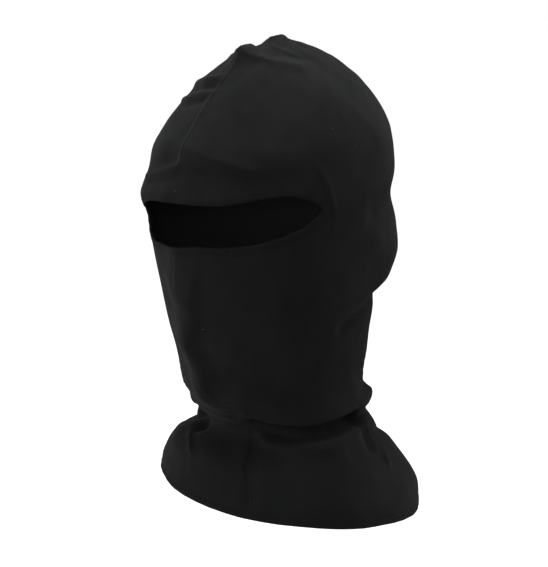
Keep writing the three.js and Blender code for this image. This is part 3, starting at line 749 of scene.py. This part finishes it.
def one_stitch():
    """One stitch along X, arched so that its ends go into the cloth."""
    bpy.ops.mesh.primitive_cylinder_add(
        vertices=6, radius=STITCH_WIDTH / 2 * MM, depth=STITCH_LENGTH * MM, end_fill_type="TRIFAN",
        rotation=(0, math.pi / 2, 0))
    obj = named("one_stitch")
    in_edit(obj, bpy.ops.mesh.select_all, "EDGE", action="DESELECT")
    points = read_points(obj)
    for edge in obj.data.edges:
        a, b = edge.vertices
        edge.select = abs(points[a, 0] - points[b, 0]) > STITCH_LENGTH * 0.9 * MM
    bpy.ops.object.mode_set(mode="EDIT")
    bpy.ops.mesh.subdivide(number_cuts=3)
    bpy.ops.object.mode_set(mode="OBJECT")
    points = read_points(obj)
    along = points[:, 0] / (STITCH_LENGTH / 2 * MM)
    points[:, 1:] *= (1 - STITCH_TAPER * along**4)[:, None]
    points[:, 2] += (STITCH_LIFT - STITCH_DIP * along**2) * STITCH_WIDTH * MM
    write_points(obj, points)
    return obj


def lay_stitches(name, template, rows):
    """Copies of one stitch laid along rows of places, joined into one mesh."""
    unit_points = read_points(template)
    unit_faces = [tuple(face.vertices) for face in template.data.polygons]
    points, faces = [], []
    for places, out, slant in rows:
        tangent = unit(np.roll(places, -1, axis=0) - places)
        tangent[-1] = tangent[-2]
        side = unit(np.cross(out, tangent))
        tangent = unit(tangent + side * slant)
        side = unit(np.cross(out, tangent))
        up = np.cross(tangent, side)
        for k in range(len(places)):
            turn = np.stack([tangent[k], side[k], up[k]])
            faces.extend(tuple(i + len(points) * len(unit_points) for i in face) for face in unit_faces)
            points.append(unit_points @ turn + places[k])
    mesh = bpy.data.meshes.new(name)
    mesh.from_pydata(np.concatenate(points).tolist(), [], faces)
    obj = bpy.data.objects.new(name, mesh)
    bpy.context.collection.objects.link(obj)
    return obj


def even_places(angle, run, out):
    """Places on the cloth a fixed length apart along a closed path, with the directions out of it."""
    points = cloth_point(angle, run, out)
    points, angle, run = (np.concatenate([row, row[:1]]) for row in (points, angle, run))
    angle = np.unwrap(angle)
    lengths = path_lengths(points)
    count = int(lengths[-1] / (STITCH_SPACING * MM))
    at = (np.arange(count) + 0.5) / count * lengths[-1]
    turn, down = np.interp(at, lengths, angle), np.interp(at, lengths, run)
    return cloth_point(turn, down, out), plain_slopes(turn, down)[2]


def band_row(offset, out):
    """A row of stitches that keeps a fixed distance from the opening's edge."""
    reach = np.minimum(offset, EYE_PLACES[:, 2] * BAND_ROW_LIMIT)[:, None]
    places = EYE_PLACES[:, :2] + EYE_OUTWARD * reach
    angle, run = places[:, 0] / (HEAD_WIDTH / 2), run_at(places[:, 1])
    return (*even_places(angle, run, out), 0.0)


def all_stitches():
    template = one_stitch()
    band = lay_stitches("band_stitches", template, [band_row(BAND_ROW_PLACE, BAND_ROW_OUT)])
    turn = np.linspace(0, 2 * math.pi, HEM_STEPS, endpoint=False)
    run = np.full(HEM_STEPS, run_at(FULL_DROP - HEM_WIDTH + HEM_ROW_PLACE * HEM_WIDTH))
    hem_row = (*even_places(turn, run, HEM_ROW_OUT), 0.0)
    hem = lay_stitches("hem_stitches", template, [hem_row])
    seam_row = even_places_open(*crown_seam_places(), SEAM_ROW_OUT * CROWN_SEAM_RISE, SEAM_ROW_SPACING)
    seam = lay_stitches("seam_stitches", template, [(*seam_row, SEAM_ROW_SLANT)])
    bpy.data.objects.remove(template, do_unlink=True)
    return band, hem, seam


def even_places_open(angle, run, out, spacing):
    """As even_places, over the crown, where the angle jumps from the front to the back."""
    points = cloth_point(angle, run, out)
    normal = plain_slopes(angle, run)[2]
    lengths = path_lengths(points)
    count = int(lengths[-1] / (spacing * MM))
    at = (np.arange(count) + 0.5) / count * lengths[-1]
    place = np.stack([np.interp(at, lengths, points[:, k]) for k in range(3)], -1)
    out = unit(np.stack([np.interp(at, lengths, normal[:, k]) for k in range(3)], -1))
    return place, out


# Materials.
def group(name, inputs, outputs):
    """A shader node group with named inputs (kind, name, value) and outputs (kind, name)."""
    tree = bpy.data.node_groups.new(name, "ShaderNodeTree")
    for kind, label, value in inputs:
        socket = tree.interface.new_socket(label, in_out="INPUT", socket_type=f"NodeSocket{kind}")
        if value is not None:
            socket.default_value = value
    for kind, label in outputs:
        tree.interface.new_socket(label, in_out="OUTPUT", socket_type=f"NodeSocket{kind}")
    return tree, tree.nodes.new("NodeGroupInput"), tree.nodes.new("NodeGroupOutput")


class Wiring:
    """Adds nodes to a tree and joins them."""

    def __init__(self, tree):
        self.nodes, self.links = tree.nodes, tree.links

    def add(self, kind, links=None, **settings):
        node = self.nodes.new(kind)
        for key, value in settings.items():
            setattr(node, key, value)
        for key, value in (links or {}).items():
            if isinstance(value, bpy.types.NodeSocket):
                self.links.new(value, node.inputs[key])
            else:
                node.inputs[key].default_value = value
        return node

    def math(self, operation, *values, clamp=False):
        node = self.add("ShaderNodeMath", dict(enumerate(values)), operation=operation, use_clamp=clamp)
        return node.outputs[0]

    def range(self, value, low, high, to_low, to_high):
        node = self.add("ShaderNodeMapRange", {"Value": value, "From Min": low, "From Max": high,
                                               "To Min": to_low, "To Max": to_high})
        return node.outputs["Result"]

    def mix(self, factor, a, b):
        node = self.add("ShaderNodeMix", data_type="RGBA")
        for socket, value in ((node.inputs["Factor"], factor), (node.inputs[6], a), (node.inputs[7], b)):
            if isinstance(value, bpy.types.NodeSocket):
                self.links.new(value, socket)
            else:
                socket.default_value = value
        return node.outputs[2]


def jersey_group():
    """Plain jersey: columns of slanted loops. Puts out their height and the gaps between them."""
    tree, given, result = group("jersey_loops", [
        ("Vector", "Pattern", None), ("Float", "Loop Width", 0.0009), ("Float", "Loop Height", 0.0007),
    ], [("Float", "Height"), ("Float", "Gap")])
    w = Wiring(tree)
    split = w.add("ShaderNodeSeparateXYZ", {"Vector": given.outputs["Pattern"]})
    column = w.math("DIVIDE", split.outputs["X"], given.outputs["Loop Width"])
    across = w.math("ABSOLUTE", w.math("SUBTRACT", w.math("FRACT", column), 0.5))
    row = w.math("DIVIDE", split.outputs["Y"], given.outputs["Loop Height"])
    slanted = w.math("ADD", row, w.math("MULTIPLY", across, 1.1))
    loop = w.math("SINE", w.math("MULTIPLY", w.math("FRACT", slanted), math.pi))
    leg = w.math("SINE", w.math("MULTIPLY", across, 2 * math.pi))
    height = w.math("MULTIPLY", w.math("POWER", loop, 0.6), w.math("POWER", leg, 0.5))
    w.links.new(height, result.inputs["Height"])
    w.links.new(w.math("SUBTRACT", 1.0, height, clamp=True), result.inputs["Gap"])
    return tree


def wear_group():
    """Cloudy tone of washed black silk. Puts out a tone from 0 to 1 and a faint fuzz."""
    tree, given, result = group("worn_tone", [
        ("Vector", "Place", None), ("Float", "Cloud Size", 22.0), ("Float", "Streaks", 0.22),
    ], [("Float", "Tone"), ("Float", "Fuzz")])
    w = Wiring(tree)
    cloud = w.add("ShaderNodeTexNoise", {
        "Vector": given.outputs["Place"], "Scale": given.outputs["Cloud Size"],
        "Detail": 4.0, "Roughness": 0.55})
    long_way = w.add("ShaderNodeMapping", {"Vector": given.outputs["Place"], "Scale": (1.0, 1.0, 0.16)})
    streak = w.add("ShaderNodeTexNoise", {
        "Vector": long_way.outputs["Vector"], "Scale": 160.0, "Detail": 3.0})
    streaks = w.math("MULTIPLY", w.math("SUBTRACT", streak.outputs["Fac"], 0.5), given.outputs["Streaks"])
    mixed = w.math("ADD", cloud.outputs["Fac"], streaks)
    w.links.new(w.range(mixed, 0.3, 0.7, 0.0, 1.0), result.inputs["Tone"])
    fuzz = w.add("ShaderNodeTexNoise", {"Vector": given.outputs["Place"], "Scale": 1900.0, "Detail": 2.0})
    w.links.new(fuzz.outputs["Fac"], result.inputs["Fuzz"])
    return tree


def lint_group():
    """Sparse specks of lint caught in the knit. Puts out where they lie."""
    tree, given, result = group("lint_specks", [
        ("Vector", "Pattern", None), ("Float", "Per Metre", 57.0), ("Float", "Share", 0.045),
        ("Float", "Size", 0.022),
    ], [("Float", "Speck")])
    w = Wiring(tree)
    cell = w.add("ShaderNodeTexVoronoi", {
        "Vector": given.outputs["Pattern"], "Scale": given.outputs["Per Metre"]}, voronoi_dimensions="2D")
    near = w.math("LESS_THAN", cell.outputs["Distance"], given.outputs["Size"])
    split = w.add("ShaderNodeSeparateXYZ", {"Vector": cell.outputs["Color"]})
    chosen = w.math("LESS_THAN", split.outputs["X"], given.outputs["Share"])
    w.links.new(w.math("MULTIPLY", near, chosen), result.inputs["Speck"])
    return tree


JERSEY, WEAR, LINT = jersey_group(), wear_group(), lint_group()


# Painted light: the inner face of the knit is coloured paler than the outer face, standing in for light that
# comes through the thin silk into the hood.
INNER_PAINTED_LIGHT_TONE = (0.046, 0.046, 0.048, 1)
LINT_TONE, LINT_SHOWS = (0.16, 0.16, 0.16, 1), 0.7
# Painted shade in the gaps between the loops, and how much of it shows.
PAINTED_GAP_SHADE, GAP_SHOWS = (0.0045, 0.0045, 0.0048, 1), 0.30


def new_material(name):
    """A material with an empty tree, and the wiring of that tree."""
    material = bpy.data.materials.new(name)
    material.use_nodes = True
    material.node_tree.nodes.clear()
    return material, Wiring(material.node_tree)


def show_shader(w, shader):
    """Joins a shader to the output of its material."""
    ending = w.add("ShaderNodeOutputMaterial")
    w.links.new(shader.outputs["BSDF"], ending.inputs["Surface"])


def cloth_material(name, dark, light, loops, depth, roughness, sheen):
    """Matt knitted silk: loop relief, cloudy tone and a soft bloom where it is seen edge on."""
    material, w = new_material(name)
    pattern = w.add("ShaderNodeUVMap", uv_map="pattern")
    place = w.add("ShaderNodeTexCoord")
    knit = w.add("ShaderNodeGroup", node_tree=JERSEY)
    w.links.new(pattern.outputs["UV"], knit.inputs["Pattern"])
    knit.inputs["Loop Width"].default_value = loops[0] * MM
    knit.inputs["Loop Height"].default_value = loops[1] * MM
    wear = w.add("ShaderNodeGroup", node_tree=WEAR)
    w.links.new(place.outputs["Object"], wear.inputs["Place"])
    outside = w.mix(wear.outputs["Tone"], (*dark, 1), (*light, 1))
    within = w.add("ShaderNodeAttribute", attribute_name="within", attribute_type="GEOMETRY")
    # painted light: vertices on the inner face take the paler inner colour
    tone = w.mix(within.outputs["Fac"], outside, INNER_PAINTED_LIGHT_TONE)
    # painted shade: the colour is darkened in the gaps between the loops
    gaps = w.math("MULTIPLY", knit.outputs["Gap"], GAP_SHOWS)
    colour = w.mix(gaps, tone, PAINTED_GAP_SHADE)
    lint = w.add("ShaderNodeGroup", node_tree=LINT)
    w.links.new(pattern.outputs["UV"], lint.inputs["Pattern"])
    colour = w.mix(w.math("MULTIPLY", lint.outputs["Speck"], LINT_SHOWS), colour, LINT_TONE)
    rough = w.range(wear.outputs["Tone"], 0.0, 1.0, roughness + 0.05, roughness - 0.05)
    height = w.math("ADD", knit.outputs["Height"], w.math("MULTIPLY", wear.outputs["Fuzz"], 0.5))
    bump = w.add("ShaderNodeBump", {"Height": height, "Strength": 0.6, "Distance": depth * MM})
    silk = w.add("ShaderNodeBsdfPrincipled", {
        "Base Color": colour, "Roughness": rough, "Normal": bump.outputs["Normal"],
        "Specular IOR Level": 0.12, "Sheen Weight": sheen, "Sheen Roughness": 0.45,
        "Sheen Tint": (0.80, 0.82, 0.82, 1),
    })
    show_shader(w, silk)
    return material


def thread_material():
    """Dull twisted thread, a little smoother than the cloth."""
    material, w = new_material("sewing_thread")
    place = w.add("ShaderNodeTexCoord")
    wear = w.add("ShaderNodeGroup", node_tree=WEAR)
    w.links.new(place.outputs["Object"], wear.inputs["Place"])
    twist = w.add("ShaderNodeTexWave", {"Vector": place.outputs["Object"], "Scale": 900.0, "Distortion": 1.5},
                  bands_direction="DIAGONAL")
    colour = w.mix(wear.outputs["Tone"], (0.006, 0.006, 0.0062, 1), (0.010, 0.0102, 0.0103, 1))
    bump = w.add("ShaderNodeBump", {"Height": twist.outputs["Fac"], "Strength": 0.5, "Distance": 0.05 * MM})
    silk = w.add("ShaderNodeBsdfPrincipled", {
        "Base Color": colour, "Roughness": 0.75, "Normal": bump.outputs["Normal"], "Specular IOR Level": 0.12,
        "Sheen Weight": 0.03, "Sheen Roughness": 0.45,
    })
    show_shader(w, silk)
    return material


PANEL_SILK = cloth_material(
    "panel_silk", (0.0104, 0.0107, 0.0107), (0.0135, 0.0140, 0.0140),
    (0.85, 0.65), 0.10, 0.85, 0.05)
BAND_SILK = cloth_material(
    "band_silk", (0.0085, 0.0087, 0.0087), (0.0125, 0.0128, 0.0128),
    (0.80, 0.60), 0.10, 0.85, 0.04)
# Painted highlight: the seams' cloth is coloured paler than the panels' same silk, standing in for the light
# line along the seam's ridge.
SEAM_SILK_PAINTED_HIGHLIGHT = cloth_material(
    "seam_silk_painted_highlight", (0.0105, 0.0110, 0.0110), (0.0165, 0.0172, 0.0172),
    (0.80, 0.60), 0.12, 0.80, 0.07)
HEM_SILK = cloth_material(
    "hem_silk", (0.0090, 0.0092, 0.0092), (0.0140, 0.0144, 0.0144),
    (0.80, 0.60), 0.10, 0.85, 0.05)
THREAD = thread_material()

# Pieces.
for node, side in (("left_panel", 1), ("right_panel", -1)):
    cloth = panel(f"{node}_cloth", side)
    outer = len(cloth.data.vertices)
    add_wall(cloth, CLOTH_WALL)
    mark_within(cloth, np.arange(len(cloth.data.vertices)) >= outer)
    finish_piece(cloth, PANEL_SILK)
    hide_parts(node)

crown_seam = seam_strip("crown_seam_cloth", *crown_seam_places(), CROWN_SEAM_WIDTH, CROWN_SEAM_RISE)
front_seam = seam_strip("front_seam_cloth", *front_seam_places(), FRONT_SEAM_WIDTH, FRONT_SEAM_RISE)
band, hem = eye_band(), neck_hem()
for cloth, node, silk in ((crown_seam, "crown_seam", SEAM_SILK_PAINTED_HIGHLIGHT), (front_seam, "front_seam", SEAM_SILK_PAINTED_HIGHLIGHT),
                          (band, "eye_band", BAND_SILK), (hem, "neck_hem", HEM_SILK)):
    finish_piece(cloth, silk)
    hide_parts(node)
stitches = all_stitches()
for thread, node in zip(stitches, ("eye_band", "neck_hem", "crown_seam")):
    finish_piece(thread, THREAD)


# Studio: the middle of the hood, the floor and the camera, in metres and degrees.
MIDDLE = (-0.004, 0.006, -0.184)
FLOOR_SIZE, FLOOR_LEVEL, AMBIENT_LIGHT = 12, -0.62, 0.03
CAMERA_TURN, CAMERA_RISE, CAMERA_AWAY, CAMERA_LENS = 43, 14, 1.3, 108
# name, place, size, power
LIGHTS = (
    ("left_low", (-1.30, -0.95, -0.42), (0.6, 0.9), 6.5),
    ("left_side", (-1.56, -0.27, -0.40), (0.7, 1.2), 4),
    ("top_soft", (0.00, -0.05, 1.50), (1.2, 1.2), 9),
    ("top_near", (0.03, 0.12, 0.50), (0.5, 0.5), 3),
    ("back_rim", (0.54, 1.48, 0.09), (0.9, 0.9), 5),
    ("front_soft", (0.70, -1.60, 0.55), (1.2, 1.2), 15.5),
)


def area_light(name, place, size, power):
    light = bpy.data.lights.new(name, "AREA")
    light.shape, light.size, light.size_y = "RECTANGLE", size[0], size[1]
    light.energy = power
    obj = bpy.data.objects.new(name, light)
    bpy.context.collection.objects.link(obj)
    obj.location = place
    obj.rotation_euler = (Vector(MIDDLE) - Vector(place)).to_track_quat("-Z", "Y").to_euler()


def studio():
    bpy.ops.mesh.primitive_plane_add(size=FLOOR_SIZE, location=(0, 0, FLOOR_LEVEL))
    floor = bpy.context.object
    floor.name = "floor"
    paint = bpy.data.materials.new("pale_floor")
    paint.use_nodes = True
    shader = paint.node_tree.nodes["Principled BSDF"]
    shader.inputs["Base Color"].default_value = (0.60, 0.60, 0.60, 1)
    shader.inputs["Roughness"].default_value = 0.9
    shader.inputs["Emission Color"].default_value = (1, 1, 1, 1)
    glow = Wiring(paint.node_tree)
    ray = glow.add("ShaderNodeLightPath")
    glow.links.new(ray.outputs["Is Camera Ray"], shader.inputs["Emission Strength"])
    floor.data.materials.append(paint)
    for light in LIGHTS:
        area_light(*light)
    world = bpy.data.worlds.new("studio")
    bpy.context.scene.world = world
    world.use_nodes = True
    w = Wiring(world.node_tree)
    world.node_tree.nodes.clear()
    ray = w.add("ShaderNodeLightPath")
    seen = w.add("ShaderNodeBackground", {"Color": (1, 1, 1, 1), "Strength": 1.0})
    lit = w.add("ShaderNodeBackground", {"Color": (1, 1, 1, 1), "Strength": AMBIENT_LIGHT})
    both = w.add("ShaderNodeMixShader", {
        0: ray.outputs["Is Camera Ray"], 1: lit.outputs[0], 2: seen.outputs[0]})
    ending = w.add("ShaderNodeOutputWorld")
    w.links.new(both.outputs[0], ending.inputs["Surface"])

    camera = bpy.data.cameras.new("camera")
    camera.lens, camera.sensor_width = CAMERA_LENS, 36
    camera.clip_end = 20
    eye = bpy.data.objects.new("camera", camera)
    bpy.context.collection.objects.link(eye)
    azimuth, elevation = math.radians(CAMERA_TURN), math.radians(CAMERA_RISE)
    level = math.cos(elevation)
    back = Vector((math.sin(azimuth) * level, -math.cos(azimuth) * level, math.sin(elevation)))
    eye.location = Vector(MIDDLE) + back * CAMERA_AWAY
    eye.rotation_euler = back.to_track_quat("Z", "Y").to_euler()
    scene = bpy.context.scene
    scene.camera = eye
    scene.view_settings.view_transform = "Standard"


studio()
